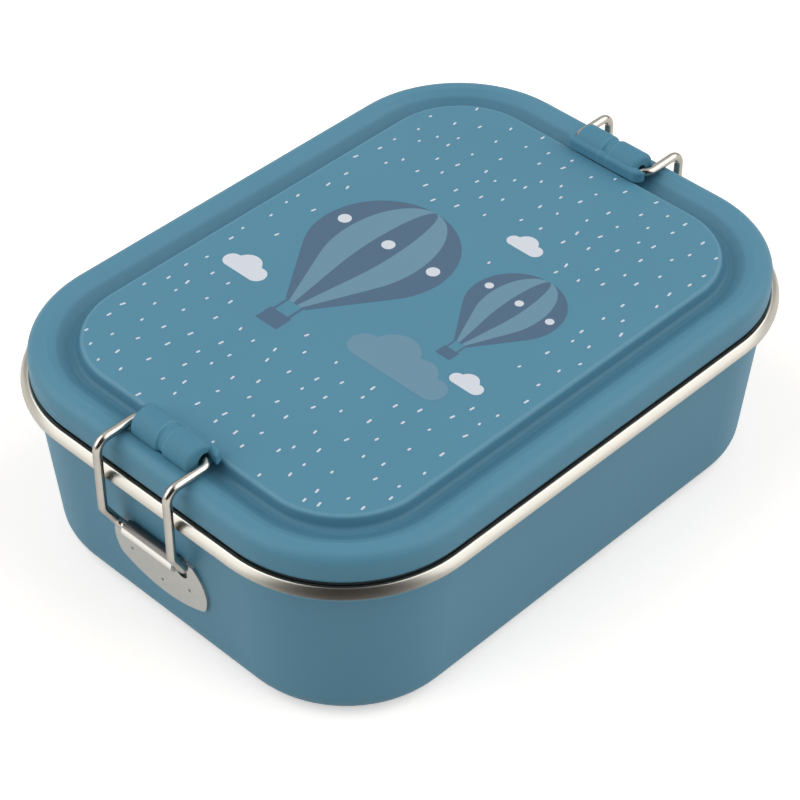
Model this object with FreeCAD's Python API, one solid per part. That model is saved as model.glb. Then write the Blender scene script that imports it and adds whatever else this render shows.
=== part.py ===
import FreeCAD, Part
import math
import os

# Child's steel lunch box: a drawn tray with a rolled rim, a pressed lid with a seal ring,
# and a hinged wire clip with a silicone grip at each end.
# Millimetres. X runs along the box, Y across it, Z up; the origin is under the middle of the floor.

# Tray
RIM_LENGTH = 185.0          # over the rolled rim
RIM_WIDTH = 140.4
RIM_CORNER = 39.2           # plan radius of the rim's outer edge
TRAY_HEIGHT = 50.9          # floor to the top of the rim
SHEET = 0.6                 # steel of tray and lid
BEAD_RADIUS = 1.86          # outside of the rolled rim
WALL_DRAFT = 5.1            # degrees that the walls lean out
FLOOR_FILLET = 7.0          # outside radius between floor and wall
CURL_GAP = 0.4              # from the rolled edge back to the wall

# Lid, from the skirt inward
LID_GAP = 0.9               # from the rim's top up to the skirt's foot
SKIRT_INSET = 2.4           # the skirt's face from the rim's outer edge
SKIRT_HEIGHT = 8.2
HEM_WIDTH = 1.8             # edge of the skirt turned in and up
HEM_RETURN = 1.5
HEM_RADIUS = 0.8
RIDGE_WIDTH = 5.1           # flat-topped ridge over the rim
RIDGE_OUTER_RADIUS = 3.4
RIDGE_INNER_RADIUS = 0.9
GROOVE_WIDTH = 8.5          # ridge to panel, at the top
GROOVE_DEPTH = 2.9          # below the ridge
GROOVE_FLOOR = 2.0
GROOVE_RADIUS = 1.4
PANEL_RUN = 1.1             # slope of the panel's wall
PANEL_RISE = 0.3            # panel above the ridge
PANEL_EDGE_RADIUS = 1.2

# Seal ring
SEAL_WIDTH = 4.2
SEAL_LIP = 1.0              # shoulder that reaches out under the hem
SEAL_DEPTH = 2.0            # plug below the rim's top
SEAL_SEAT = 0.17            # closed gap to the rolled rim
SEAL_SEAT_ANGLE = 45.0      # slope of the face that meets the rim
SEAL_CLEARANCE = 0.2        # to the lid's hem
SEAL_ROOF_GAP = 1.0         # to the ridge's roof
SEAL_EDGE = 0.3             # rounding of its corners
SEAL_CROWN = 0.8            # rounding of its outer top corner

# Clip bracket, a plate on each end wall
PIVOT_DROP = 18.5           # pivot's place on the wall, below the rim's top
PLATE_SHEET = 0.8
PLATE_TOP_HALF = 13.2       # straight top edge at the pivot's height, half
PLATE_HALF_WIDTH = 16.9
PLATE_WAIST = 9.2           # widest place, below the pivot
PLATE_END_HALF = 15.4       # where the bottom arc ends
PLATE_END_DROP = 14.4
PLATE_DEPTH = 18.3          # lowest place, below the pivot
PLATE_CORNER = 3.0
CURL_HALF = 9.2             # rolled knuckle, half its length
CURL_END_ANGLE = 105.0      # degrees past the front that the knuckle runs on
NOTCH_MIDDLE = 8.6          # round-ended cut under each end of the knuckle, from the middle
NOTCH_RADIUS = 2.0
NOTCH_DEPTH = 6.4
WELD_RADIUS = 0.55          # spot-weld dimples
WELD_DEPTH = 0.2
WELD_SPREAD = 10.6
WELD_UPPER_DROP = 10.0
WELD_LOWER_DROP = 13.8

# Wire bail
WIRE_RADIUS = 1.22
PIVOT_CLEARANCE = 0.06      # wire in the knuckle, radial
BAIL_HALF = 12.6            # leg's centre from the middle
RIM_CLEARANCE = 0.5         # leg to the rim
ARM_CLEARANCE = 0.25        # arm to the lid's ridge
KNEE_RISE = 7.6             # knee above the pivot
ARM_LENGTH = 14.0           # leg to bar
PIVOT_BEND = 2.6            # bend radii on the wire's centre line
KNEE_BEND = 3.0
SHOULDER_BEND = 3.4
BAR_BEND = 2.6
WIRE_END_GAP = 1.0          # the wire's two ends, inside the knuckle

# Silicone grip
GRIP_RADIUS = 4.5
GRIP_OUTSET = 0.8           # grip's axis out from the bar
GRIP_END_GAP = 0.8          # barrel's end to the arm
GRIP_RISE = 0.1             # grip's axis above the bar
GRIP_END_RADIUS = 1.2
WAIST_DEPTH = 0.6
WAIST_HALF = 1.3
WAIST_RADIUS = 1.2
BORE_CLEARANCE = 0.08
MOUTH_CLEARANCE = 0.7       # wire to the wider mouth of the bore
MOUTH_DEPTH = 1.2           # mouth, inward from where the wire bends
LIP_OVERHANG = 2.6          # lip past the barrel's end
LIP_REACH = 4.2             # lip in from the bar, over the panel
LIP_SHEET = 3.4
LIP_CORNER = 2.4
LIP_EDGE = 1.2
LIP_BAR_GAP = 0.3           # lip to the wire
LID_CLEARANCE = 0.3         # grip to the lid, at rest and over the swing

DRAFT = math.radians(WALL_DRAFT)
CORE_X = RIM_LENGTH / 2 - RIM_CORNER
CORE_Y = RIM_WIDTH / 2 - RIM_CORNER
UP = FreeCAD.Vector(0, 0, 1)
OUT = FreeCAD.Vector(1, 0, 0)
ALONG = FreeCAD.Vector(0, 1, 0)
ORIGIN = FreeCAD.Vector(0, 0, 0)

BEAD_RHO = RIM_CORNER - BEAD_RADIUS
BEAD_Z = TRAY_HEIGHT - BEAD_RADIUS
SKIRT_RHO = RIM_CORNER - SKIRT_INSET
RIDGE_RHO = SKIRT_RHO - RIDGE_WIDTH
PANEL_RHO = RIDGE_RHO - GROOVE_WIDTH
FOOT_Z = TRAY_HEIGHT + LID_GAP
RIDGE_Z = FOOT_Z + SKIRT_HEIGHT
GROOVE_Z = RIDGE_Z - GROOVE_DEPTH
PANEL_Z = RIDGE_Z + PANEL_RISE


def wall_inside(z):
    """Offset of the wall's inside face at height z, tangent to the rolled rim."""
    return BEAD_RHO - BEAD_RADIUS / math.cos(DRAFT) + (z - BEAD_Z) * math.tan(DRAFT)


def wall_outside(z):
    return wall_inside(z) + SHEET / math.cos(DRAFT)


KNUCKLE_BORE = WIRE_RADIUS + PIVOT_CLEARANCE
PIVOT_HEIGHT = TRAY_HEIGHT - PIVOT_DROP
PIVOT_STAND = PLATE_SHEET + KNUCKLE_BORE
PIVOT_X = CORE_X + wall_outside(PIVOT_HEIGHT) + PIVOT_STAND * math.cos(DRAFT)
PIVOT_Z = PIVOT_HEIGHT - PIVOT_STAND * math.sin(DRAFT)
LEG_X = RIM_LENGTH / 2 + RIM_CLEARANCE + WIRE_RADIUS
ARM_Z = RIDGE_Z + ARM_CLEARANCE + WIRE_RADIUS
BAR_X = LEG_X - ARM_LENGTH
GRIP_HALF = BAIL_HALF - WIRE_RADIUS - GRIP_END_GAP
LIP_HALF = GRIP_HALF + LIP_OVERHANG


def rounded_wire(corners, closed=False):
    """Lines joined by tangent arcs; each corner is (point, radius)."""
    count = len(corners)
    edges = []
    start = None
    first = None
    for i, (point, radius) in enumerate(corners):
        end_corner = not closed and i in (0, count - 1)
        if end_corner or radius == 0:
            enter = leave = point
            arc = None
        else:
            back = (corners[i - 1][0] - point).normalize()
            ahead = (corners[(i + 1) % count][0] - point).normalize()
            half = back.getAngle(ahead) / 2
            enter = point + back * (radius / math.tan(half))
            leave = point + ahead * (radius / math.tan(half))
            to_centre = (back + ahead).normalize()
            middle = point + to_centre * (radius / math.sin(half) - radius)
            arc = Part.Arc(enter, middle, leave).toShape()
        if start is not None and start.distanceToPoint(enter) > 1e-6:
            edges.append(Part.LineSegment(start, enter).toShape())
        if arc is not None:
            edges.append(arc)
        if first is None:
            first = enter
        start = leave
    if closed and start.distanceToPoint(first) > 1e-6:
        edges.append(Part.LineSegment(start, first).toShape())
    return Part.Wire(edges)


def profile(corners):
    """Corners (offset, height, radius) of a section, in the XZ plane."""
    return [(FreeCAD.Vector(rho, 0, z), radius) for rho, z, radius in corners]


def sheet_section(corners):
    """Face of the sheet that lies to the right of an open rounded path."""
    points = [corner[0] for corner in corners]
    normals = []
    for a, b in zip(points, points[1:]):
        along = (b - a).normalize()
        normals.append(FreeCAD.Vector(along.z, 0, -along.x))
    inner = []
    for i, (point, radius) in enumerate(corners):
        before = normals[max(i - 1, 0)]
        after = normals[min(i, len(normals) - 1)]
        bisector = before + after
        shifted = point + bisector * (2 * SHEET / bisector.Length ** 2)
        turns_right = before.cross(after).y > 0
        inner.append((shifted, radius + (-SHEET if turns_right else SHEET)))
    outer_wire = rounded_wire(corners)
    inner_wire = rounded_wire(inner)
    caps = [Part.LineSegment(corners[i][0], inner[i][0]).toShape() for i in (0, -1)]
    return Part.Face(Part.Wire(Part.__sortEdges__(outer_wire.Edges + inner_wire.Edges + caps)))


def turned(shape, degrees):
    copy = shape.copy()
    copy.rotate(ORIGIN, UP, degrees)
    return copy


def moved(shape, x, y, z=0):
    copy = shape.copy()
    copy.translate(FreeCAD.Vector(x, y, z))
    return copy


def around_box(face, middle=None):
    """Carry a section round the plan: straight sides, and corners turned about their centres."""
    along_x = FreeCAD.Vector(-2 * CORE_X, 0, 0)
    along_y = FreeCAD.Vector(0, 2 * CORE_Y, 0)
    corner = FreeCAD.Vector(CORE_X, CORE_Y, 0)
    mirror_corner = FreeCAD.Vector(-CORE_X, CORE_Y, 0)
    across = turned(face, 90)
    half = [
        moved(face, CORE_X, -CORE_Y).extrude(along_y),
        moved(face, CORE_X, CORE_Y).revolve(corner, UP, 90),
        moved(across, CORE_X, CORE_Y).extrude(along_x),
        moved(across, -CORE_X, CORE_Y).revolve(mirror_corner, UP, 90),
    ]
    pieces = half + [turned(piece, 180) for piece in half]
    if middle is not None:
        pieces.append(middle)
    return pieces[0].multiFuse(pieces[1:]).removeSplitter()


def core_slab(bottom):
    return Part.makeBox(2 * CORE_X, 2 * CORE_Y, SHEET, FreeCAD.Vector(-CORE_X, -CORE_Y, bottom))


def make_tray():
    """Floor, leaning walls and the rim rolled outward and under; the path is the inside face."""
    under = TRAY_HEIGHT - 2 * BEAD_RADIUS
    tail = wall_outside(under) + CURL_GAP
    path = profile([
        (0, SHEET, 0),
        (wall_inside(SHEET), SHEET, FLOOR_FILLET - SHEET),
        (wall_inside(TRAY_HEIGHT), TRAY_HEIGHT, BEAD_RADIUS),
        (RIM_CORNER, TRAY_HEIGHT, BEAD_RADIUS),
        (RIM_CORNER, under, BEAD_RADIUS),
        (tail, under, 0),
    ])
    return around_box(sheet_section(path), core_slab(0))


def make_lid():
    """Raised panel, groove, ridge and hemmed skirt; the path is the top face."""
    hem_rho = SKIRT_RHO - HEM_WIDTH
    path = profile([
        (0, PANEL_Z, 0),
        (PANEL_RHO, PANEL_Z, PANEL_EDGE_RADIUS),
        (PANEL_RHO + PANEL_RUN, GROOVE_Z, GROOVE_RADIUS),
        (PANEL_RHO + PANEL_RUN + GROOVE_FLOOR, GROOVE_Z, GROOVE_RADIUS),
        (RIDGE_RHO, RIDGE_Z, RIDGE_INNER_RADIUS),
        (SKIRT_RHO, RIDGE_Z, RIDGE_OUTER_RADIUS),
        (SKIRT_RHO, FOOT_Z, HEM_RADIUS),
        (hem_rho, FOOT_Z, HEM_RADIUS),
        (hem_rho, FOOT_Z + HEM_RETURN, 0),
    ])
    return around_box(sheet_section(path), core_slab(PANEL_Z - SHEET))


def make_seal():
    """Silicone ring that fills the ridge, with a shoulder under the hem and a plug inside the rim."""
    outer = SKIRT_RHO - HEM_WIDTH - SEAL_CLEARANCE
    inner = outer - SEAL_WIDTH
    roof = RIDGE_Z - SHEET - SEAL_ROOF_GAP
    shoulder = outer + SEAL_LIP
    shoulder_top = FOOT_Z - SEAL_CLEARANCE
    plug_foot = TRAY_HEIGHT - SEAL_DEPTH
    lean = math.radians(SEAL_SEAT_ANGLE)
    reach = BEAD_RADIUS + SEAL_SEAT
    shoulder_foot = BEAD_Z + (reach + (shoulder - BEAD_RHO) * math.sin(lean)) / math.cos(lean)
    plug_rho = BEAD_RHO + ((plug_foot - BEAD_Z) * math.cos(lean) - reach) / math.sin(lean)
    corners = profile([
        (inner, plug_foot, SEAL_EDGE),
        (plug_rho, plug_foot, SEAL_EDGE),
        (shoulder, shoulder_foot, SEAL_EDGE),
        (shoulder, shoulder_top, SEAL_EDGE),
        (outer, shoulder_top, SEAL_EDGE),
        (outer, roof, SEAL_CROWN),
        (inner, roof, SEAL_EDGE),
    ])
    return around_box(Part.Face(rounded_wire(corners, closed=True)))


def plate_outline():
    """Half-moon plate in its own plane: X is the thickness, Y across, Z up from the pivot."""
    def at(y, drop):
        return FreeCAD.Vector(0, y, -drop)
    top = Part.LineSegment(at(-PLATE_TOP_HALF, 0), at(PLATE_TOP_HALF, 0))
    right = Part.Arc(at(PLATE_TOP_HALF, 0), at(PLATE_HALF_WIDTH, PLATE_WAIST),
                     at(PLATE_END_HALF, PLATE_END_DROP))
    bottom = Part.Arc(at(PLATE_END_HALF, PLATE_END_DROP), at(0, PLATE_DEPTH),
                      at(-PLATE_END_HALF, PLATE_END_DROP))
    left = Part.Arc(at(-PLATE_END_HALF, PLATE_END_DROP), at(-PLATE_HALF_WIDTH, PLATE_WAIST),
                    at(-PLATE_TOP_HALF, 0))
    return Part.Face(Part.Wire([curve.toShape() for curve in (top, right, bottom, left)]))


def make_knuckle():
    """The plate's top, rolled outward over the wire and on past its front."""
    def at(radius, degrees):
        angle = math.radians(degrees)
        return FreeCAD.Vector(PIVOT_STAND + radius * math.cos(angle), -CURL_HALF, radius * math.sin(angle))
    inside = KNUCKLE_BORE
    outside = KNUCKLE_BORE + PLATE_SHEET
    back = 180
    front = -CURL_END_ANGLE
    over = (back + front) / 2
    edges = [
        Part.Arc(at(inside, back), at(inside, over), at(inside, front)).toShape(),
        Part.LineSegment(at(inside, front), at(outside, front)).toShape(),
        Part.Arc(at(outside, front), at(outside, over), at(outside, back)).toShape(),
        Part.LineSegment(at(outside, back), at(inside, back)).toShape(),
    ]
    return Part.Face(Part.Wire(edges)).extrude(ALONG * (2 * CURL_HALF))


def make_notch(middle):
    """Round-ended cut in the plate, below the pivot."""
    deep = NOTCH_DEPTH - NOTCH_RADIUS
    slot = Part.makeBox(PLATE_SHEET, 2 * NOTCH_RADIUS, deep, FreeCAD.Vector(0, middle - NOTCH_RADIUS, -deep))
    return slot.fuse(Part.makeCylinder(NOTCH_RADIUS, PLATE_SHEET, FreeCAD.Vector(0, middle, -deep), OUT))


def make_bracket():
    """Plate on the end wall with its rolled top, a notch under each end of the roll, and weld dimples."""
    plate = plate_outline().extrude(OUT * PLATE_SHEET)
    ends = [edge for edge in plate.Edges if edge.BoundBox.YLength < 1e-6
            and edge.BoundBox.ZLength < 1e-6 and edge.BoundBox.ZMax < -PLATE_WAIST]
    plate = plate.makeFillet(PLATE_CORNER, ends)
    cuts = [make_notch(side * NOTCH_MIDDLE) for side in (-1, 1)]
    for y, drop in ((-WELD_SPREAD, WELD_UPPER_DROP), (WELD_SPREAD, WELD_UPPER_DROP),
                    (0, WELD_LOWER_DROP)):
        place = FreeCAD.Vector(PLATE_SHEET - WELD_DEPTH, y, -drop)
        cuts.append(Part.makeCylinder(WELD_RADIUS, WELD_DEPTH, place, OUT))
    bracket = plate.cut(cuts).fuse(make_knuckle()).removeSplitter()
    bracket.rotate(ORIGIN, ALONG, WALL_DRAFT)
    bracket.translate(FreeCAD.Vector(CORE_X + wall_outside(PIVOT_HEIGHT), 0, PIVOT_HEIGHT))
    return bracket


def make_bail():
    """One bent wire: pivot, knee, leg, shoulder and arm on each side, and the bar between them."""
    def side(y):
        return [
            (FreeCAD.Vector(PIVOT_X, y, PIVOT_Z), PIVOT_BEND),
            (FreeCAD.Vector(LEG_X, y, PIVOT_Z + KNEE_RISE), KNEE_BEND),
            (FreeCAD.Vector(LEG_X, y, ARM_Z), SHOULDER_BEND),
            (FreeCAD.Vector(BAR_X, y, ARM_Z), BAR_BEND),
        ]
    gap = WIRE_END_GAP / 2
    first = (FreeCAD.Vector(PIVOT_X, gap, PIVOT_Z), 0)
    last = (FreeCAD.Vector(PIVOT_X, -gap, PIVOT_Z), 0)
    path = rounded_wire([first] + side(BAIL_HALF) + side(-BAIL_HALF)[::-1] + [last])
    section = Part.Wire([Part.makeCircle(WIRE_RADIUS, first[0], ALONG)])
    bail = path.makePipeShell([section], True, False)
    print("bail volume / section times length:",
          round(bail.Volume / (math.pi * WIRE_RADIUS ** 2 * path.Length), 4))
    return bail


def make_barrel():
    """Body of the grip, turned about its axis, with a waist between its two halves."""
    waist = GRIP_RADIUS - WAIST_DEPTH
    half = [
        (WAIST_HALF / 2, waist, WAIST_RADIUS),
        (WAIST_HALF, GRIP_RADIUS, WAIST_RADIUS),
        (GRIP_HALF, GRIP_RADIUS, GRIP_END_RADIUS),
        (GRIP_HALF, 0, 0),
    ]
    right = [(FreeCAD.Vector(radius, y, 0), bend) for y, radius, bend in half]
    left = [(FreeCAD.Vector(point.x, -point.y, 0), bend) for point, bend in right[::-1]]
    barrel = Part.Face(rounded_wire(left + right, closed=True)).revolve(ORIGIN, ALONG, 360)
    barrel.translate(FreeCAD.Vector(BAR_X + GRIP_OUTSET, 0, ARM_Z + GRIP_RISE))
    return barrel


def make_lip():
    """Rounded ledge along the grip's inner side, just over the lid's panel."""
    outer = BAR_X - WIRE_RADIUS - LIP_BAR_GAP
    inner = BAR_X - LIP_REACH
    bottom = PANEL_Z + LID_CLEARANCE
    outline = rounded_wire([
        (FreeCAD.Vector(inner, -LIP_HALF, bottom), LIP_CORNER),
        (FreeCAD.Vector(outer, -LIP_HALF, bottom), 0),
        (FreeCAD.Vector(outer, LIP_HALF, bottom), 0),
        (FreeCAD.Vector(inner, LIP_HALF, bottom), LIP_CORNER),
    ], closed=True)
    lip = Part.Face(outline).extrude(UP * LIP_SHEET)
    top = [edge for edge in lip.Edges if edge.BoundBox.ZMin > bottom + LIP_SHEET - 1e-6]
    return lip.makeFillet(LIP_EDGE, top)


def make_bore():
    """Hole for the bar, with a mouth at each end wide enough for the wire's bend."""
    bore = Part.makeCylinder(WIRE_RADIUS + BORE_CLEARANCE, 2 * GRIP_HALF,
                             FreeCAD.Vector(BAR_X, -GRIP_HALF, ARM_Z), ALONG)
    bent = max(GRIP_HALF - (BAIL_HALF - BAR_BEND), 0)
    drift = BAR_BEND - math.sqrt(BAR_BEND ** 2 - bent ** 2)
    deep = bent + MOUTH_DEPTH
    mouths = [Part.makeCylinder(WIRE_RADIUS + drift + MOUTH_CLEARANCE, deep,
                                FreeCAD.Vector(BAR_X, y, ARM_Z), ALONG)
              for y in (-GRIP_HALF, GRIP_HALF - deep)]
    return bore.multiFuse(mouths)


def make_grip():
    """Barrel and lip, bored for the bar and cut clear of the lid, at rest and over the swing."""
    ridge = math.hypot(PIVOT_X - CORE_X - RIDGE_RHO, RIDGE_Z - PIVOT_Z)
    swing = Part.makeCylinder(ridge + LID_CLEARANCE, 2 * LIP_HALF,
                              FreeCAD.Vector(PIVOT_X, -LIP_HALF, PIVOT_Z), ALONG)
    panel_foot = CORE_X + PANEL_RHO + PANEL_RUN + LID_CLEARANCE
    panel = Part.makeBox(panel_foot, 2 * LIP_HALF, PANEL_Z + LID_CLEARANCE,
                         FreeCAD.Vector(0, -LIP_HALF, 0))
    return make_barrel().fuse(make_lip()).cut([make_bore(), swing, panel]).removeSplitter()


def main():
    os.makedirs("parts", exist_ok=True)
    shapes = {"tray": make_tray(), "lid": make_lid(), "lid_seal": make_seal()}
    for name, shape in (("bracket", make_bracket()), ("bail", make_bail()), ("grip", make_grip())):
        shapes[name + "_right"] = shape
        shapes[name + "_left"] = turned(shape, 180)
    for node, shape in shapes.items():
        print(node, "solids", len(shape.Solids), "valid", shape.isValid(), "volume", round(shape.Volume, 1))
        shape.exportStep("parts/" + node + ".step")
    print("pivot", round(PIVOT_X, 3), round(PIVOT_Z, 3))


main()
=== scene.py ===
# %% [markdown]
# # Dressing a child's steel lunch box
# The CAD model gives every piece its true shape: a drawn tray, a pressed lid, a seal ring and two wire
# clips. This lesson gives those pieces their finishes, prints a pattern on the lid, and sets up the
# studio. Everything is in metres in the CAD frame, so a piece goes where the drawing says.

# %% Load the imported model
import math
import random

import bmesh
import bpy
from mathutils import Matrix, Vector


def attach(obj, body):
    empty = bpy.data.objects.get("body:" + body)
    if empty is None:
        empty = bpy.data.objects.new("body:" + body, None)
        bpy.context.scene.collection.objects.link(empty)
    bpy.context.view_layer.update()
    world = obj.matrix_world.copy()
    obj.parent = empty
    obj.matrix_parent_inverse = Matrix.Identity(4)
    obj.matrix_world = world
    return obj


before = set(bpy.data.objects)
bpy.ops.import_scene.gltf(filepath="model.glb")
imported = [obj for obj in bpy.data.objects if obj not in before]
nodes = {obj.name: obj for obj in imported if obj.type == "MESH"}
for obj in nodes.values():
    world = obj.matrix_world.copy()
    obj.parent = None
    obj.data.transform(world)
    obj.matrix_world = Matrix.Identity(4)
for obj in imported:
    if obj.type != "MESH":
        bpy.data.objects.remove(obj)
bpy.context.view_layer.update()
MM = 0.001

# %% [markdown]
# ## Camera
# The photograph looks down on one corner from about 42 degrees with a long lens, so the box is hardly
# foreshortened. The place, aim and focal length come from fitting the rim, the panel and the floor line.

# %% Camera
CAMERA_PLACE = Vector((-0.3719, -0.3603, 0.4840))
CAMERA_AIM = Vector((0.02579, 0.02762, -0.01069))
FOCAL_LENGTH = 116.8
SENSOR_WIDTH = 36.0

lens = bpy.data.cameras.new("studio_camera")
lens.sensor_width = SENSOR_WIDTH
lens.lens = FOCAL_LENGTH
camera = bpy.data.objects.new("studio_camera", lens)
camera.location = CAMERA_PLACE
camera.rotation_euler = (CAMERA_AIM - CAMERA_PLACE).to_track_quat("-Z", "Y").to_euler()
bpy.context.scene.collection.objects.link(camera)
bpy.context.scene.camera = camera
bpy.context.scene.view_settings.view_transform = "Standard"
print("camera to aim, mm:", round((CAMERA_AIM - CAMERA_PLACE).length / MM, 1))

# %% [markdown]
# ## Small helpers for shader nodes
# A finish is a small graph of nodes. Helpers keep the graphs readable: they add a node with its settings,
# feed a socket from another socket or from a plain number, do arithmetic, and blend colours by a mask.

# %% Node helpers
def add_node(tree, kind, **settings):
    node = tree.nodes.new(kind)
    for name, value in settings.items():
        setattr(node, name, value)
    return node


def feed(tree, source, socket):
    """Link a socket, or write a plain value on it."""
    if isinstance(source, bpy.types.NodeSocket):
        tree.links.new(source, socket)
    else:
        socket.default_value = source


def arithmetic(tree, operation, *values):
    node = add_node(tree, "ShaderNodeMath", operation=operation)
    for value, socket in zip(values, node.inputs):
        feed(tree, value, socket)
    return node.outputs[0]


def product(tree, first, *others):
    for other in others:
        first = arithmetic(tree, "MULTIPLY", first, other)
    return first


def blend(tree, kind, ending, mask, low, high):
    """Mix two values; a mix node has sockets for each kind of value, told apart by their ending."""
    node = add_node(tree, "ShaderNodeMix", data_type=kind)
    for value, name in ((mask, "Factor_Float"), (low, "A_" + ending), (high, "B_" + ending)):
        feed(tree, value, next(s for s in node.inputs if s.identifier == name))
    return next(s for s in node.outputs if s.identifier == "Result_" + ending)


def blend_colour(tree, mask, low, high):
    return blend(tree, "RGBA", "Color", mask, low, high)


# %% [markdown]
# ## Studio floor
# The box stands on a white sweep. A sweep could be lit until it is white, but then the box would be too
# bright. So the floor has a little light of its own where the camera or a mirror sees it, and throws back
# less light to the walls than its white would. Only a narrow shadow is left round the foot.

# %% Floor
FLOOR_SIZE = 6.0

half = FLOOR_SIZE / 2
floor_corners = [(-half, -half, 0), (half, -half, 0), (half, half, 0), (-half, half, 0)]
floor_mesh = bpy.data.meshes.new("studio_floor")
floor_mesh.from_pydata(floor_corners, [], [(0, 1, 2, 3)])
floor = bpy.data.objects.new("studio_floor", floor_mesh)
bpy.context.scene.collection.objects.link(floor)
print("floor:", FLOOR_SIZE, "m across")

# %% Floor finish
FLOOR_WHITE = (0.98, 0.945, 0.91, 1.0)
FLOOR_BOUNCE = (0.58, 0.56, 0.54, 1.0)
FLOOR_GLOW = 0.43
MIRRORED_GLOW = 0.2
GLOW_TINT = (1.0, 0.97, 0.94, 1.0)

floor_finish = bpy.data.materials.new("white_sweep")
floor_finish.use_nodes = True
tree = floor_finish.node_tree
tree.nodes.clear()
paper = add_node(tree, "ShaderNodeBsdfDiffuse")
glow = add_node(tree, "ShaderNodeEmission")
glow.inputs["Color"].default_value = GLOW_TINT
path = add_node(tree, "ShaderNodeLightPath")
paper_colour = blend_colour(tree, path.outputs["Is Diffuse Ray"], FLOOR_WHITE, FLOOR_BOUNCE)
feed(tree, paper_colour, paper.inputs["Color"])
direct = product(tree, path.outputs["Is Camera Ray"], FLOOR_GLOW)
mirrored = product(tree, path.outputs["Is Glossy Ray"], MIRRORED_GLOW)
feed(tree, arithmetic(tree, "ADD", direct, mirrored), glow.inputs["Strength"])
both = add_node(tree, "ShaderNodeAddShader")
feed(tree, paper.outputs[0], both.inputs[0])
feed(tree, glow.outputs[0], both.inputs[1])
feed(tree, both.outputs[0], add_node(tree, "ShaderNodeOutputMaterial").inputs["Surface"])
floor.data.materials.append(floor_finish)
print("floor glow:", FLOOR_GLOW)

# %% [markdown]
# ## Surroundings
# Polished steel shows the room more than its own colour. A photographed room could surround the box, but
# a few tones do. Mirror rays see grey at the horizon, lighter above, and dark behind the camera, which
# gives the rim its dark streak at the near corner. The camera sees plain white, and the light that the sky
# gives the box is set apart from both.

# %% Mirrored room
HORIZON_TONE = (0.52, 0.50, 0.47, 1.0)
HORIZON_EDGE = (4.0, 32.0)
MIRRORED_WHITE = (0.74, 0.73, 0.71, 1.0)
ROOM_DARK = (0.035, 0.03, 0.028, 1.0)
ROOM_AZIMUTH = 225.0
ROOM_HEIGHT = 32.0
ROOM_EDGE = (62.0, 34.0)


def towards(azimuth, height):
    """Unit vector to a place in the room, from angles in degrees."""
    bearing, rise = math.radians(azimuth), math.radians(height)
    return Vector((math.cos(bearing) * math.cos(rise), math.sin(bearing) * math.cos(rise), math.sin(rise)))


def fade(tree, value, start, stop):
    """Mask that goes smoothly from 0 at the start to 1 at the stop, up or down."""
    ramp = add_node(tree, "ShaderNodeMapRange", interpolation_type="SMOOTHSTEP")
    feed(tree, value, ramp.inputs["Value"])
    ramp.inputs["From Min"].default_value = start
    ramp.inputs["From Max"].default_value = stop
    return ramp.outputs["Result"]


world = bpy.data.worlds.new("studio")
bpy.context.scene.world = world
world.use_nodes = True
tree = world.node_tree
tree.nodes.clear()
direction = add_node(tree, "ShaderNodeTexCoord").outputs["Generated"]
to_room = add_node(tree, "ShaderNodeVectorMath", operation="DOT_PRODUCT")
feed(tree, direction, to_room.inputs[0])
to_room.inputs[1].default_value = towards(ROOM_AZIMUTH, ROOM_HEIGHT)
dark = fade(tree, to_room.outputs["Value"], *[math.cos(math.radians(angle)) for angle in ROOM_EDGE])
upward = add_node(tree, "ShaderNodeSeparateXYZ")
feed(tree, direction, upward.inputs[0])
lift = fade(tree, upward.outputs["Z"], *[math.sin(math.radians(angle)) for angle in HORIZON_EDGE])
room_tone = blend_colour(tree, lift, HORIZON_TONE, MIRRORED_WHITE)
room_tone = blend_colour(tree, dark, room_tone, ROOM_DARK)
print("room: dark towards azimuth", ROOM_AZIMUTH)

# %% Backdrop and sky
STUDIO_WHITE = (1.0, 1.0, 1.0, 1.0)
SKY_LIGHT = 0.37

path = add_node(tree, "ShaderNodeLightPath")
seen = add_node(tree, "ShaderNodeBackground")
feed(tree, blend_colour(tree, path.outputs["Is Glossy Ray"], STUDIO_WHITE, room_tone), seen.inputs["Color"])
sky = add_node(tree, "ShaderNodeBackground")
sky.inputs["Strength"].default_value = SKY_LIGHT
shown = arithmetic(tree, "ADD", path.outputs["Is Camera Ray"], path.outputs["Is Glossy Ray"])
shown = arithmetic(tree, "ADD", shown, path.outputs["Is Transmission Ray"])
shown = arithmetic(tree, "MINIMUM", shown, 1.0)
choice = add_node(tree, "ShaderNodeMixShader")
feed(tree, shown, choice.inputs["Fac"])
feed(tree, sky.outputs[0], choice.inputs[1])
feed(tree, seen.outputs[0], choice.inputs[2])
feed(tree, choice.outputs[0], add_node(tree, "ShaderNodeOutputWorld").inputs["Surface"])
print("sky light:", SKY_LIGHT)

# %% [markdown]
# ## Lamps
# Two broad lamps stand left and right of the camera, so the end wall and the long wall are bright and the
# near corner between them is darker. Area lamps would do, but a sun lamp with a wide angle acts as a large
# softbox and lights both ends of the box alike.

# %% Lamps
LAMP_HEIGHT = 38.0
LAMP_SPREAD = 70.0
LAMP_LEVEL = 0.47
LAMPS = (("left_softbox", 138.0), ("right_softbox", 312.0))

for name, azimuth in LAMPS:
    lamp = bpy.data.lights.new(name, "SUN")
    lamp.energy = LAMP_LEVEL * math.pi
    lamp.angle = math.radians(LAMP_SPREAD)
    lamp_object = bpy.data.objects.new(name, lamp)
    source = towards(azimuth, LAMP_HEIGHT)
    lamp_object.location = source
    lamp_object.rotation_euler = (-source).to_track_quat("-Z", "Y").to_euler()
    bpy.context.scene.collection.objects.link(lamp_object)
    print(name, "from azimuth", azimuth)

# %% [markdown]
# ## Shared effect: where a point lies in the section
# The tray and the lid are sheets carried round the same plan, so one section describes them. This group
# measures how far a point lies out from the corner centres, its height, whether the surface faces out or
# up, and which way is out. With these one sheet can be painted outside and bare inside, as the real one is.

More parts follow.
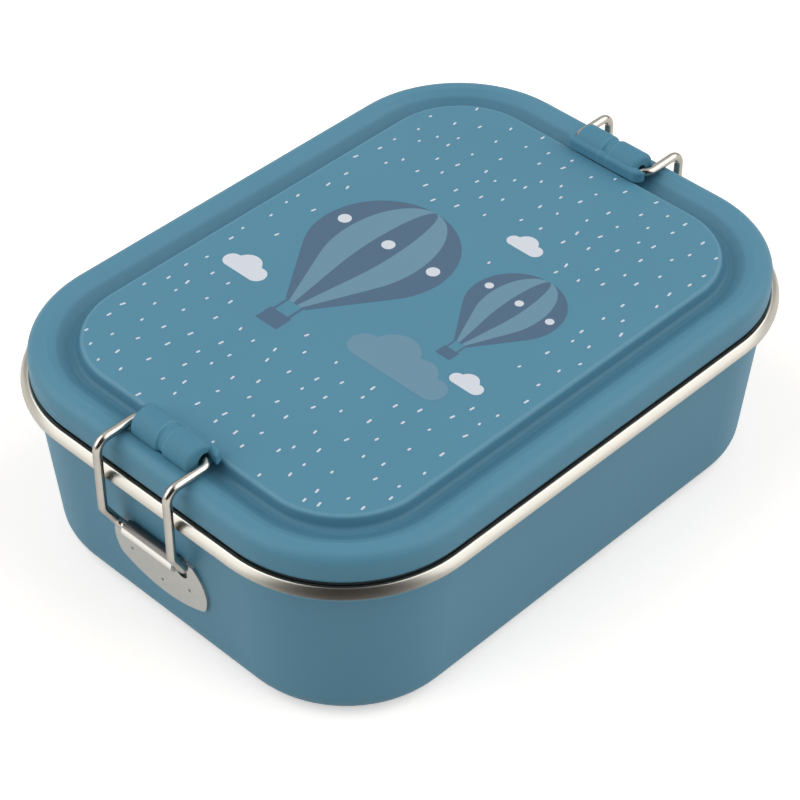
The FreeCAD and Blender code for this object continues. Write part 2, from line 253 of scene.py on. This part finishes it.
# %% Section group
CORE_X = 53.3 * MM
CORE_Y = 31.0 * MM
TINY = 1e-6


def make_section_group():
    group = bpy.data.node_groups.new("box_section", "ShaderNodeTree")
    for name in ("Offset", "Height", "Facing", "Up"):
        group.interface.new_socket(name, in_out="OUTPUT", socket_type="NodeSocketFloat")
    group.interface.new_socket("Outward", in_out="OUTPUT", socket_type="NodeSocketVector")
    ends = add_node(group, "NodeGroupOutput")
    place = add_node(group, "ShaderNodeTexCoord")
    point = add_node(group, "ShaderNodeSeparateXYZ")
    normal = add_node(group, "ShaderNodeSeparateXYZ")
    feed(group, place.outputs["Object"], point.inputs[0])
    feed(group, place.outputs["Normal"], normal.inputs[0])
    outward = add_node(group, "ShaderNodeCombineXYZ")
    squares, faces = [], []
    for axis, core in (("X", CORE_X), ("Y", CORE_Y)):
        beyond = arithmetic(group, "SUBTRACT", arithmetic(group, "ABSOLUTE", point.outputs[axis]), core)
        beyond = arithmetic(group, "MAXIMUM", beyond, 0.0)
        step = product(group, beyond, arithmetic(group, "SIGN", point.outputs[axis]))
        feed(group, step, outward.inputs[axis])
        squares.append(product(group, beyond, beyond))
        faces.append(product(group, step, normal.outputs[axis]))
    offset = arithmetic(group, "SQRT", arithmetic(group, "ADD", *squares))
    never_zero = arithmetic(group, "ADD", offset, TINY)
    facing = arithmetic(group, "DIVIDE", arithmetic(group, "ADD", *faces), never_zero)
    unit = add_node(group, "ShaderNodeVectorMath", operation="NORMALIZE")
    feed(group, outward.outputs[0], unit.inputs[0])
    feed(group, offset, ends.inputs["Offset"])
    feed(group, point.outputs["Z"], ends.inputs["Height"])
    feed(group, facing, ends.inputs["Facing"])
    feed(group, normal.outputs["Z"], ends.inputs["Up"])
    feed(group, unit.outputs[0], ends.inputs["Outward"])
    return group


section_group = make_section_group()
print("group:", section_group.name)

# %% [markdown]
# ## Shared effect: powder coat
# Powder coat is sprayed on dry and melted, so it flows into a fine orange peel, with a slightly uneven
# tone where it lies thicker. An image could hold this, but noise has no seams and no pixels. Noise at three
# sizes gives the peel, a fine speckle and the slow drift.

# %% Coat group
PEEL_SCALE = 1500.0
SPECKLE_SCALE = 5200.0
DRIFT_SCALE = 22.0


def noise(tree, place, scale, detail):
    node = add_node(tree, "ShaderNodeTexNoise")
    feed(tree, place, node.inputs["Vector"])
    node.inputs["Scale"].default_value = scale
    node.inputs["Detail"].default_value = detail
    return node.outputs["Fac"]


def make_coat_group():
    group = bpy.data.node_groups.new("powder_coat", "ShaderNodeTree")
    for name in ("Peel", "Speckle", "Drift"):
        group.interface.new_socket(name, in_out="OUTPUT", socket_type="NodeSocketFloat")
    ends = add_node(group, "NodeGroupOutput")
    place = add_node(group, "ShaderNodeTexCoord").outputs["Object"]
    feed(group, noise(group, place, PEEL_SCALE, detail=2.0), ends.inputs["Peel"])
    feed(group, noise(group, place, SPECKLE_SCALE, detail=1.0), ends.inputs["Speckle"])
    feed(group, noise(group, place, DRIFT_SCALE, detail=2.0), ends.inputs["Drift"])
    return group


coat_group = make_coat_group()
print("group:", coat_group.name)

# %% [markdown]
# ## Shared effect: bright steel
# Rolled and polished steel keeps fine lines from the tools that shaped it. Noise stretched along one
# direction gives the lines, and a slow noise makes some places duller, as handling does.

# %% Steel group
LINE_SCALE = 900.0
SMEAR_SCALE = 60.0


def make_steel_group():
    group = bpy.data.node_groups.new("bright_steel", "ShaderNodeTree")
    group.interface.new_socket("Stretch", in_out="INPUT", socket_type="NodeSocketVector")
    for name in ("Lines", "Smears"):
        group.interface.new_socket(name, in_out="OUTPUT", socket_type="NodeSocketFloat")
    starts = add_node(group, "NodeGroupInput")
    ends = add_node(group, "NodeGroupOutput")
    place = add_node(group, "ShaderNodeTexCoord").outputs["Object"]
    stretched = add_node(group, "ShaderNodeVectorMath", operation="MULTIPLY")
    feed(group, place, stretched.inputs[0])
    feed(group, starts.outputs["Stretch"], stretched.inputs[1])
    feed(group, noise(group, stretched.outputs[0], LINE_SCALE, detail=3.0), ends.inputs["Lines"])
    feed(group, noise(group, place, SMEAR_SCALE, detail=2.0), ends.inputs["Smears"])
    return group


steel_group = make_steel_group()
print("group:", steel_group.name)

# %% [markdown]
# ## Starting a finish
# Every finish here is one Principled shader with a few maps into it. These helpers make the empty finish,
# place a shared group in it, add fine relief, and put the finish on a CAD node.

# %% Finish helpers
def new_finish(name):
    """A material with its Principled shader and output, and nothing else yet."""
    finish = bpy.data.materials.new(name)
    finish.use_nodes = True
    tree = finish.node_tree
    tree.nodes.clear()
    shader = add_node(tree, "ShaderNodeBsdfPrincipled")
    feed(tree, shader.outputs[0], add_node(tree, "ShaderNodeOutputMaterial").inputs["Surface"])
    return finish, tree, shader


def use_group(tree, group, **inputs):
    node = add_node(tree, "ShaderNodeGroup", node_tree=group)
    for name, value in inputs.items():
        node.inputs[name].default_value = value
    return node.outputs


def raise_surface(tree, shader, height, depth, normal=None):
    """Bump of a stated depth in metres, on the true normal or on another one."""
    bump = add_node(tree, "ShaderNodeBump")
    bump.inputs["Distance"].default_value = depth
    feed(tree, height, bump.inputs["Height"])
    if normal:
        feed(tree, normal, bump.inputs["Normal"])
    feed(tree, bump.outputs[0], shader.inputs["Normal"])


def wear(node, finish):
    """Give a CAD node its finish."""
    slots = nodes[node].data.materials
    slots.clear()
    slots.append(finish)


# %% [markdown]
# ## Coated sheet
# The tray and the lid are each one sheet of steel, coated blue on the outside. The tray's inside and the
# upper half of its rolled rim stay bare, and so does the lid's underside. Two materials on one sheet would
# need the mesh split, so one shader does both: a mask picks coat or steel for colour, metal, gloss and
# relief.

# %% Coat and steel values
def linear(red, green, blue):
    """A colour picked from a screen, 0 to 255, as the linear values that shaders use."""
    def channel(value):
        value /= 255
        return value / 12.92 if value <= 0.04045 else ((value + 0.055) / 1.055) ** 2.4
    return (channel(red), channel(green), channel(blue), 1.0)


COAT_LOW = linear(84, 141, 166)
COAT_HIGH = linear(91, 148, 173)
COAT_SPECKLE_SHARE = 0.4
COAT_ROUGHNESS = (0.42, 0.52)
COAT_SHINE = 0.35
PEEL_DEPTH = 0.012 * MM
STEEL_LOW = (0.68, 0.65, 0.58, 1.0)
STEEL_HIGH = (0.80, 0.77, 0.70, 1.0)
BARE_ROUGHNESS = (0.25, 0.35)
print("coat, linear:", [round(channel, 3) for channel in COAT_LOW[:3]])


# %% Coated sheet
def blend_value(tree, mask, low, high):
    return blend(tree, "FLOAT", "Float", mask, low, high)


def shade_over(tree, colour, shades):
    """Lay shades, given as (mask, colour), over a colour."""
    for mask, shade in shades:
        colour = blend_colour(tree, mask, colour, shade)
    return colour


def finish_sheet(tree, shader, painted, stretch, coat_shades, steel_shades=(), normal=None):
    """Coat where the painted mask is 1 and bare steel where it is 0."""
    coat = use_group(tree, coat_group)
    steel = use_group(tree, steel_group, Stretch=stretch)
    tone = blend_value(tree, COAT_SPECKLE_SHARE, coat["Drift"], coat["Speckle"])
    coat_colour = shade_over(tree, blend_colour(tree, tone, COAT_LOW, COAT_HIGH), coat_shades)
    steel_colour = shade_over(tree, blend_colour(tree, steel["Lines"], STEEL_LOW, STEEL_HIGH), steel_shades)
    feed(tree, blend_colour(tree, painted, steel_colour, coat_colour), shader.inputs["Base Color"])
    feed(tree, arithmetic(tree, "SUBTRACT", 1.0, painted), shader.inputs["Metallic"])
    shader.inputs["Specular IOR Level"].default_value = COAT_SHINE
    coat_gloss = blend_value(tree, coat["Peel"], *COAT_ROUGHNESS)
    steel_gloss = blend_value(tree, steel["Smears"], *BARE_ROUGHNESS)
    feed(tree, blend_value(tree, painted, steel_gloss, coat_gloss), shader.inputs["Roughness"])
    raise_surface(tree, shader, product(tree, coat["Peel"], painted), PEEL_DEPTH, normal)


# %% [markdown]
# ## Rolled rim
# The real rim seems to be rolled a little flatter than a tube, so it mirrors the room as one even band. The
# CAD piece is round there and isn't changed here. Instead, the shading normals on the roll lean to one
# slope, and the coat is drawn up over its lower half, which leaves a narrow bare band.

# %% Rim masks
BEAD_OFFSET = 37.34 * MM
BEAD_HEIGHT = 49.04 * MM
BEAD_REACH = 1.98 * MM
COAT_UNDER = -0.3 * MM
HEM_FACING = (-0.2, 0.3)


def clear_of_bare_rim(tree, where):
    """Mask of the sheet beyond the roll, and of the roll's coated lower half."""
    across = arithmetic(tree, "SUBTRACT", where["Offset"], BEAD_OFFSET)
    above = arithmetic(tree, "SUBTRACT", where["Height"], BEAD_HEIGHT)
    squares = arithmetic(tree, "ADD", product(tree, across, across), product(tree, above, above))
    beyond = arithmetic(tree, "GREATER_THAN", arithmetic(tree, "SQRT", squares), BEAD_REACH)
    return arithmetic(tree, "MAXIMUM", beyond, arithmetic(tree, "LESS_THAN", above, COAT_UNDER))


def outer_hem(tree, where, clear_of_rim):
    """Mask of the bare roll where it faces out."""
    on_rim = arithmetic(tree, "SUBTRACT", 1.0, clear_of_rim)
    return product(tree, on_rim, fade(tree, where["Facing"], *HEM_FACING))


# %% Rim normals
HEM_LEAN = math.radians(32)
HEM_SHARE = 0.85


def blend_direction(tree, mask, low, high):
    return blend(tree, "VECTOR", "Vector", mask, low, high)


def flatter_normal(tree, where, on_hem):
    """The true normal, leaned towards one slope on the hem."""
    slope = add_node(tree, "ShaderNodeVectorMath", operation="MULTIPLY_ADD")
    feed(tree, where["Outward"], slope.inputs[0])
    slope.inputs[1].default_value = [math.cos(HEM_LEAN)] * 3
    slope.inputs[2].default_value = (0.0, 0.0, math.sin(HEM_LEAN))
    true_normal = add_node(tree, "ShaderNodeTexCoord").outputs["Normal"]
    leaned = blend_direction(tree, product(tree, on_hem, HEM_SHARE), true_normal, slope.outputs[0])
    to_world = add_node(tree, "ShaderNodeVectorTransform", vector_type="NORMAL")
    to_world.convert_from = "OBJECT"
    to_world.convert_to = "WORLD"
    feed(tree, leaned, to_world.inputs[0])
    return to_world.outputs[0]


# %% [markdown]
# ## Tray
# Steel and coat come from the sheet's shader. The wall behind the brackets' notches is in deep shade, which
# the soft lamps don't give, so small dark patches stand in for it. They are masks on the height and on the
# distance from the middle of each end.

# %% Notch shade
NOTCH_SPAN = (6.3 * MM, 10.9 * MM)
NOTCH_HEIGHT = (25.8 * MM, 32.3 * MM)
NOTCH_BLUR = 0.1 * MM
NOTCH_DARK = (0.006, 0.006, 0.007, 1.0)


def between(tree, value, low, high, blur):
    """Mask that is 1 from low to high and fades to 0 over the blur on both sides."""
    return product(tree, fade(tree, value, low - blur, low), fade(tree, value, high + blur, high))


def point_on_piece(tree):
    """X, Y and Z of the point in the piece's own frame."""
    point = add_node(tree, "ShaderNodeSeparateXYZ")
    feed(tree, add_node(tree, "ShaderNodeTexCoord").outputs["Object"], point.inputs[0])
    return point.outputs


def behind_notches(tree, where):
    point = point_on_piece(tree)
    beside = between(tree, arithmetic(tree, "ABSOLUTE", point["Y"]), *NOTCH_SPAN, NOTCH_BLUR)
    level = between(tree, where["Height"], *NOTCH_HEIGHT, NOTCH_BLUR)
    on_end = arithmetic(tree, "GREATER_THAN", arithmetic(tree, "ABSOLUTE", point["X"]), CORE_X)
    return product(tree, beside, level, on_end)


# %% Tray
TRAY_STRETCH = (0.12, 0.12, 1.0)
# Where the bare roll faces out, its steel is darkened: a painted shade that dims its bright reflection.
HEM_PAINTED_SHADE = (0.50, 0.485, 0.44, 1.0)
HEM_SHADE_SHARE = 0.9

tray_finish, tree, shader = new_finish("coated_tray")
where = use_group(tree, section_group)
outside = arithmetic(tree, "GREATER_THAN", where["Facing"], where["Up"])
clear_of_rim = clear_of_bare_rim(tree, where)
on_hem = outer_hem(tree, where, clear_of_rim)
finish_sheet(tree, shader, product(tree, outside, clear_of_rim), TRAY_STRETCH,
             coat_shades=[(behind_notches(tree, where), NOTCH_DARK)],
             steel_shades=[(product(tree, on_hem, HEM_SHADE_SHARE), HEM_PAINTED_SHADE)],
             normal=flatter_normal(tree, where, on_hem))
wear("tray", tray_finish)
print("tray: bare inside and over the rolled rim")

# %% [markdown]
# ## Lid
# The groove is darkened with painted shade, and the panel's edge is lightened with a painted highlight.
# Both are masks on the distance out from the corner centres.

# %% Lid
LID_STRETCH = (1.0, 0.12, 0.12)
TOP_SIDE = 0.05
SKIRT_EDGE = 36.3 * MM
# Spans for the groove's painted shade and the panel edge's painted highlight, out from the corner centres.
GROOVE_SPAN = (24.2 * MM, 28.6 * MM)
GROOVE_BLUR = 1.4 * MM
GROOVE_SHADE_STRENGTH = 0.44
GROOVE_SHADE = linear(58, 104, 128)
PANEL_EDGE = (22.5 * MM, 22.9 * MM)
EDGE_BLUR = 0.4 * MM
EDGE_HIGHLIGHT_STRENGTH = 0.35
PANEL_EDGE_HIGHLIGHT = linear(122, 168, 188)

lid_finish, tree, shader = new_finish("coated_lid")
where = use_group(tree, section_group)
top_side = arithmetic(tree, "GREATER_THAN", where["Up"], TOP_SIDE)
skirt_side = arithmetic(tree, "GREATER_THAN", where["Offset"], SKIRT_EDGE)
painted = arithmetic(tree, "MAXIMUM", top_side, skirt_side)
# Painted shade darkens the groove.
painted_groove_shade = product(tree, between(tree, where["Offset"], *GROOVE_SPAN, GROOVE_BLUR), GROOVE_SHADE_STRENGTH)
# Painted highlight along the panel's rounded edge.
painted_edge_highlight = product(tree, between(tree, where["Offset"], *PANEL_EDGE, EDGE_BLUR), EDGE_HIGHLIGHT_STRENGTH)
finish_sheet(tree, shader, painted, LID_STRETCH, [(painted_groove_shade, GROOVE_SHADE), (painted_edge_highlight, PANEL_EDGE_HIGHLIGHT)])
wear("lid", lid_finish)
print("lid: bare underneath")

# %% [markdown]
# ## Seal ring
# The ring is silicone, hardly seen in the gap over the rim; its colour is kept dark as painted shade, so
# the gap shows as a dark line. A matt shader with a fine grain is enough.

# %% Seal ring
# Dark colours as painted shade for the gap over the rim.
SEAL_SHADE_LOW = (0.026, 0.044, 0.054, 1.0)
SEAL_SHADE_HIGH = (0.036, 0.058, 0.07, 1.0)
SEAL_ROUGHNESS = (0.55, 0.7)
GRAIN_DEPTH = 0.02 * MM

seal_finish, tree, shader = new_finish("seal_silicone")
coat = use_group(tree, coat_group)
feed(tree, blend_colour(tree, coat["Drift"], SEAL_SHADE_LOW, SEAL_SHADE_HIGH), shader.inputs["Base Color"])
feed(tree, blend_value(tree, coat["Peel"], *SEAL_ROUGHNESS), shader.inputs["Roughness"])
raise_surface(tree, shader, coat["Speckle"], GRAIN_DEPTH)
wear("lid_seal", seal_finish)
print("seal: matt silicone")

# %% [markdown]
# ## Bare steel of the clips
# The plate on the end wall is satin sheet with a fine grain; the wire is polished. Both use the steel
# group with their own values. In the photograph the plate's roll is bright in front and dark on top, and
# the wire darkens towards its edges. A whole room to mirror could give that. Here the bands are colours
# placed by height, and the edges are darkened by the angle of view.

# %% Roll bands
ROLL_HALF = 9.2 * MM
ROLL_BLUR = 0.3 * MM
ROLL_FRONT = (31.2 * MM, 33.1 * MM)
ROLL_PAINTED_HIGHLIGHT = (0.93, 0.91, 0.87, 1.0)
ROLL_TOP = (33.6 * MM, 36.0 * MM)
ROLL_PAINTED_DARK_REFLECTION = (0.15, 0.145, 0.14, 1.0)


def roll_shades(tree):
    """The painted highlight and the painted dark reflection along the plate's roll, as (mask, colour)."""
    point = point_on_piece(tree)
    on_roll = arithmetic(tree, "LESS_THAN", arithmetic(tree, "ABSOLUTE", point["Y"]), ROLL_HALF)
    shades = []
    # Painted highlight on the roll's front, painted dark reflection on its top.
    for span, colour in ((ROLL_FRONT, ROLL_PAINTED_HIGHLIGHT), (ROLL_TOP, ROLL_PAINTED_DARK_REFLECTION)):
        band = between(tree, point["Z"], *span, ROLL_BLUR)
        shades.append((product(tree, band, on_roll), colour))
    return shades


# %% Clip steel
EDGE_DARK_REFLECTION = (0.10, 0.085, 0.07, 1.0)
EDGE_POWER = 2.0


def finish_steel(name, low, high, roughness, stretch, depth, edge, rolled=False):
    """Steel that darkens by a share towards its edges as a painted dark reflection, with the roll's painted
    bands where it is rolled.
    """
    finish, tree, shader = new_finish(name)
    steel = use_group(tree, steel_group, Stretch=stretch)
    metal = blend_colour(tree, steel["Lines"], low, high)
    if rolled:
        metal = shade_over(tree, metal, roll_shades(tree))
    # Painted dark reflection towards the edges, by the angle of view.
    facing = add_node(tree, "ShaderNodeLayerWeight").outputs["Facing"]
    turned_away = product(tree, arithmetic(tree, "POWER", facing, EDGE_POWER), edge)
    feed(tree, blend_colour(tree, turned_away, metal, EDGE_DARK_REFLECTION), shader.inputs["Base Color"])
    shader.inputs["Metallic"].default_value = 1.0
    feed(tree, blend_value(tree, steel["Smears"], *roughness), shader.inputs["Roughness"])
    raise_surface(tree, shader, steel["Lines"], depth)
    return finish


# %% Plates and wires
SIDES = ("right", "left")

plate_finish = finish_steel("bracket_steel", low=(0.52, 0.515, 0.49, 1), high=(0.64, 0.635, 0.605, 1),
                            roughness=(0.28, 0.40), stretch=(1.0, 1.0, 1.0), depth=0.006 * MM, edge=0.2,
                            rolled=True)
wire_finish = finish_steel("wire_steel", low=(0.50, 0.48, 0.44, 1), high=(0.64, 0.62, 0.57, 1),
                           roughness=(0.12, 0.22), stretch=(0.3, 0.3, 0.3), depth=0.003 * MM, edge=0.85)
for side in SIDES:
    wear("bracket_" + side, plate_finish)
    wear("bail_" + side, wire_finish)
print("clips: satin plates, polished wire")

# %% [markdown]
# ## Silicone grips
# Silicone is matt with a soft bloom. The mould leaves a faint grain and a fine line at each side of the
# waist. The lines are too fine to model, so they are a lighter colour, a painted highlight where the fine
# ridge catches light. Handling leaves slightly shinier places, so the roughness drifts.

# %% Grips
SILICONE_LOW = linear(77, 135, 160)
SILICONE_HIGH = linear(86, 145, 170)
SILICONE_SPECKLE_SHARE = 0.35
SILICONE_ROUGHNESS = (0.55, 0.72)
MOULD_RIDGE_HIGHLIGHT = linear(94, 152, 176)
MOULD_SPAN = (1.42 * MM, 1.62 * MM)
MOULD_BLUR = 0.1 * MM

grip_finish, tree, shader = new_finish("blue_silicone")
coat = use_group(tree, coat_group)
tone = blend_value(tree, SILICONE_SPECKLE_SHARE, coat["Drift"], coat["Speckle"])
from_middle = arithmetic(tree, "ABSOLUTE", point_on_piece(tree)["Y"])
# Painted highlight along the fine mould ridges at each side of the waist.
painted_ridge_highlight = between(tree, from_middle, *MOULD_SPAN, MOULD_BLUR)
silicone = blend_colour(tree, tone, SILICONE_LOW, SILICONE_HIGH)
feed(tree, blend_colour(tree, painted_ridge_highlight, silicone, MOULD_RIDGE_HIGHLIGHT), shader.inputs["Base Color"])
feed(tree, blend_value(tree, coat["Drift"], *SILICONE_ROUGHNESS), shader.inputs["Roughness"])
shader.inputs["Specular IOR Level"].default_value = COAT_SHINE
raise_surface(tree, shader, coat["Speckle"], GRAIN_DEPTH)
for side in SIDES:
    wear("grip_" + side, grip_finish)
print("grips: matt silicone")

# %% [markdown]
# ## Printing the lid
# The panel carries a scatter of small white dashes and a picture of hot-air balloons in the same blues.
# Ink could be painted into the lid's shader, but thin pieces of ink stay crisp at any size, so each colour
# is one mesh of flat closed shapes a few hundredths of a millimetre thick.

# %% Ink as thin shapes
PANEL_HEIGHT = 60.3 * MM
INK_SINK = 0.01 * MM


def print_ink(name, shapes, thickness, finish):
    """One colour of ink: closed flat shapes, given as outlines in metres on the panel."""
    ink = bmesh.new()
    for outline in shapes:
        low = [ink.verts.new((x, y, PANEL_HEIGHT - INK_SINK)) for x, y in outline]
        high = [ink.verts.new((x, y, PANEL_HEIGHT + thickness)) for x, y in outline]
        ink.faces.new(low[::-1])
        ink.faces.new(high)
        for i in range(len(outline)):
            j = (i + 1) % len(outline)
            ink.faces.new((low[i], low[j], high[j], high[i]))
    bmesh.ops.recalc_face_normals(ink, faces=ink.faces)
    bmesh.ops.triangulate(ink, faces=ink.faces)
    mesh = bpy.data.meshes.new(name)
    ink.to_mesh(mesh)
    ink.free()
    piece = bpy.data.objects.new(name, mesh)
    bpy.context.scene.collection.objects.link(piece)
    mesh.materials.append(finish)
    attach(piece, "lid")
    print(name, "shapes:", len(shapes))


# %% Ink finishes
INK_SPECKLE_SHARE = 0.5


def ink_finish(name, low, high):
    finish, tree, shader = new_finish(name)
    coat = use_group(tree, coat_group)
    tone = blend_value(tree, INK_SPECKLE_SHARE, coat["Drift"], coat["Speckle"])
    feed(tree, blend_colour(tree, tone, low, high), shader.inputs["Base Color"])
    feed(tree, blend_value(tree, coat["Peel"], *COAT_ROUGHNESS), shader.inputs["Roughness"])
    raise_surface(tree, shader, coat["Peel"], PEEL_DEPTH)
    return finish


white_ink = ink_finish("white_ink", low=linear(220, 226, 236), high=linear(230, 235, 242))
slate_ink = ink_finish("slate_ink", low=linear(75, 105, 132), high=linear(81, 111, 138))
blue_ink = ink_finish("blue_ink", low=linear(106, 147, 169), high=linear(113, 153, 175))
print("inks:", white_ink.name, slate_ink.name, blue_ink.name)

# %% [markdown]
# ## The picture
# A balloon is drawn in millimetres, with its upright along the box. Its half width is a circle above and a
# straight taper below that meets the circle smoothly, and each gore lies between two fixed shares of that
# width. Baskets and ropes are bars, sized as shares of the circle's radius.

# %% Balloon shapes
TAPER_ANGLE = math.radians(35)
MOUTH_DROP = 1.5
CROWN_RISE = 0.9995
GORE_STEPS = 28


def place_drawing(right, up):
    """Drawing millimetres to the panel: up is along +X, right is along -Y."""
    return (up * MM, -right * MM)


def half_width(radius, rise):
    """Half width of the envelope at a height above its middle."""
    join = -radius * math.sin(TAPER_ANGLE)
    if rise >= join:
        return math.sqrt(max(radius ** 2 - rise ** 2, 0.0))
    return radius * math.cos(TAPER_ANGLE) + (rise - join) * math.tan(TAPER_ANGLE)


def gore(middle, radius, left, right):
    """Outline between two shares of the width, from the mouth up and back."""
    top, mouth = CROWN_RISE * radius, -MOUTH_DROP * radius
    turns = [math.pi / 2 * i / GORE_STEPS for i in range(GORE_STEPS + 1)]
    rises = [mouth + (top - mouth) * math.sin(turn) for turn in turns]
    up_side = [(middle[0] + left * half_width(radius, rise), middle[1] + rise) for rise in rises]
    down_side = [(middle[0] + right * half_width(radius, rise), middle[1] + rise) for rise in rises[::-1]]
    return [place_drawing(*point) for point in down_side + up_side]


def block(middle, drop, width, height):
    """Upright bar or basket below the envelope."""
    left, right = middle[0] - width / 2, middle[0] + width / 2
    top, bottom = middle[1] - drop, middle[1] - drop - height
    return [place_drawing(*p) for p in ((left, bottom), (right, bottom), (right, top), (left, top))]


# %% Balloons
BALLOONS = (((-17.0, 8.0), 21.0), ((24.0, 15.0), 13.5))
GORE_SHARES = (-1.0, -0.62, -0.2, 0.2, 0.62, 1.0)
BASKET_DROP = 1.74
BASKET_WIDTH = 0.36
BASKET_HEIGHT = 0.26
ROPE_PLACES = (-0.13, 0.13)
ROPE_WIDTH = 0.035
ROPE_LENGTH = 0.24

slate_shapes, blue_shapes, white_shapes = [], [], []
for middle, radius in BALLOONS:
    for i, (left, right) in enumerate(zip(GORE_SHARES, GORE_SHARES[1:])):
        (blue_shapes if i % 2 else slate_shapes).append(gore(middle, radius, left, right))
    slate_shapes.append(block(middle, BASKET_DROP * radius, BASKET_WIDTH * radius, BASKET_HEIGHT * radius))
    for share in ROPE_PLACES:
        rope = (middle[0] + share * radius, middle[1])
        slate_shapes.append(block(rope, MOUTH_DROP * radius, ROPE_WIDTH * radius, ROPE_LENGTH * radius))
print("balloons:", len(BALLOONS))

# %% [markdown]
# A cloud is a row of round heads on a flat base. Its outline follows the highest head at each place, and
# rounds off at both ends, so one closed shape comes out with no overlaps. The balloons also carry small
# white dots.

# %% Clouds
CLOUD_STEPS = 48
BLUE_CLOUD = (2.0, -27.0, ((5.0, 4.4), (12.5, 7.2), (22.0, 5.6), (29.0, 4.0)))
WHITE_CLOUDS = ((-45.0, -25.0, ((3.2, 2.6), (7.4, 4.0), (12.2, 2.8))),
                (3.0, 33.0, ((2.4, 2.0), (5.8, 3.2), (9.6, 2.2))),
                (30.0, -17.5, ((2.4, 1.9), (5.4, 2.9), (8.8, 2.0))))


def cloud(left, base, heads):
    """Heads are (place along the base, radius), from left to right, on the base line."""
    first, last = heads[0], heads[-1]
    start, stop = first[0] - first[1], last[0] + last[1]
    upper, lower = [], []
    for i in range(CLOUD_STEPS + 1):
        along = start + (stop - start) * (1 - math.cos(math.pi * i / CLOUD_STEPS)) / 2
        tops = [size + math.sqrt(max(size ** 2 - (along - at) ** 2, 0.0)) for at, size in heads
                if abs(along - at) <= size + TINY]
        upper.append((left + along, base + max(tops)))
        edge = first if along < first[0] else last if along > last[0] else None
        dip = edge[1] - math.sqrt(max(edge[1] ** 2 - (along - edge[0]) ** 2, 0.0)) if edge else 0.0
        if 0 < i < CLOUD_STEPS:
            lower.append((left + along, base + dip))
    return [place_drawing(*point) for point in lower + upper[::-1]]


blue_shapes.append(cloud(*BLUE_CLOUD))
white_shapes.extend(cloud(*place) for place in WHITE_CLOUDS)
print("clouds:", 1 + len(WHITE_CLOUDS))

# %% Dots and ink
DOT_STEPS = 20
DOT_PLACES = (-0.78, 0.0, 0.78)
DOT_RISE = 0.12
DOT_SIZE = 0.09
SLATE_THICKNESS = 0.03 * MM
BLUE_THICKNESS = 0.035 * MM
WHITE_THICKNESS = 0.05 * MM


def dot(middle, radius):
    turns = [2 * math.pi * i / DOT_STEPS for i in range(DOT_STEPS)]
    return [place_drawing(middle[0] + radius * math.cos(t), middle[1] + radius * math.sin(t)) for t in turns]


for middle, radius in BALLOONS:
    rise = DOT_RISE * radius
    for share in DOT_PLACES:
        place = (middle[0] + share * half_width(radius, rise), middle[1] + rise)
        white_shapes.append(dot(place, DOT_SIZE * radius))
print_ink("print_slate", slate_shapes, SLATE_THICKNESS, slate_ink)
print_ink("print_blue", blue_shapes, BLUE_THICKNESS, blue_ink)
print_ink("print_white", white_shapes, WHITE_THICKNESS, white_ink)

# %% [markdown]
# ## The dashes
# Printers scatter such dashes on a loose grid, so that none touch. Each place on the grid is nudged, each
# dash gets its own length and a slight turn, and places under the picture are left empty. A seeded random
# generator gives the same scatter every time.

# %% Dash shape
DASH_WIDTH = 0.58
DASH_ENDS = 5


def dash(x, y, length, turn):
    """A short stroke with round ends, along X before it is turned."""
    radius, run = DASH_WIDTH / 2, (length - DASH_WIDTH) / 2
    points = []
    for sign in (1, -1):
        for i in range(DASH_ENDS + 1):
            angle = math.pi * (i / DASH_ENDS - 0.5)
            points.append((sign * (run + radius * math.cos(angle)), sign * radius * math.sin(angle)))
    across, along = math.sin(turn), math.cos(turn)
    return [((x + px * along - py * across) * MM, (y + px * across + py * along) * MM) for px, py in points]


# %% Room for dashes
PANEL_REACH = 21.8
PICTURE_MARGIN = 3.0


def on_panel(x, y):
    return math.hypot(max(abs(x) * MM - CORE_X, 0), max(abs(y) * MM - CORE_Y, 0)) < PANEL_REACH * MM


def under_picture(x, y):
    """Near any printed shape's own box."""
    for outline in slate_shapes + blue_shapes + white_shapes:
        xs, ys = [p[0] / MM for p in outline], [p[1] / MM for p in outline]
        if (min(xs) - PICTURE_MARGIN < x < max(xs) + PICTURE_MARGIN
                and min(ys) - PICTURE_MARGIN < y < max(ys) + PICTURE_MARGIN):
            return True
    return False


# %% Dashes
DASH_SEED = 11
DASH_ROWS = 12
DASH_STEP = 7.0
DASH_NUDGE = 1.9
DASH_LENGTH = (0.95, 1.75)
DASH_TURN = math.radians(16)
DASH_THICKNESS = 0.03 * MM

scatter = random.Random(DASH_SEED)
dashes = []
for row in range(-DASH_ROWS, DASH_ROWS + 1):
    shift = DASH_STEP / 2 if row % 2 else 0
    for column in range(-DASH_ROWS, DASH_ROWS + 1):
        x = column * DASH_STEP + shift + scatter.uniform(-DASH_NUDGE, DASH_NUDGE)
        y = row * DASH_STEP + scatter.uniform(-DASH_NUDGE, DASH_NUDGE)
        length, turn = scatter.uniform(*DASH_LENGTH), scatter.uniform(-DASH_TURN, DASH_TURN)
        if on_panel(x, y) and not under_picture(x, y):
            dashes.append(dash(x, y, length, turn))
print_ink("print_dashes", dashes, DASH_THICKNESS, white_ink)
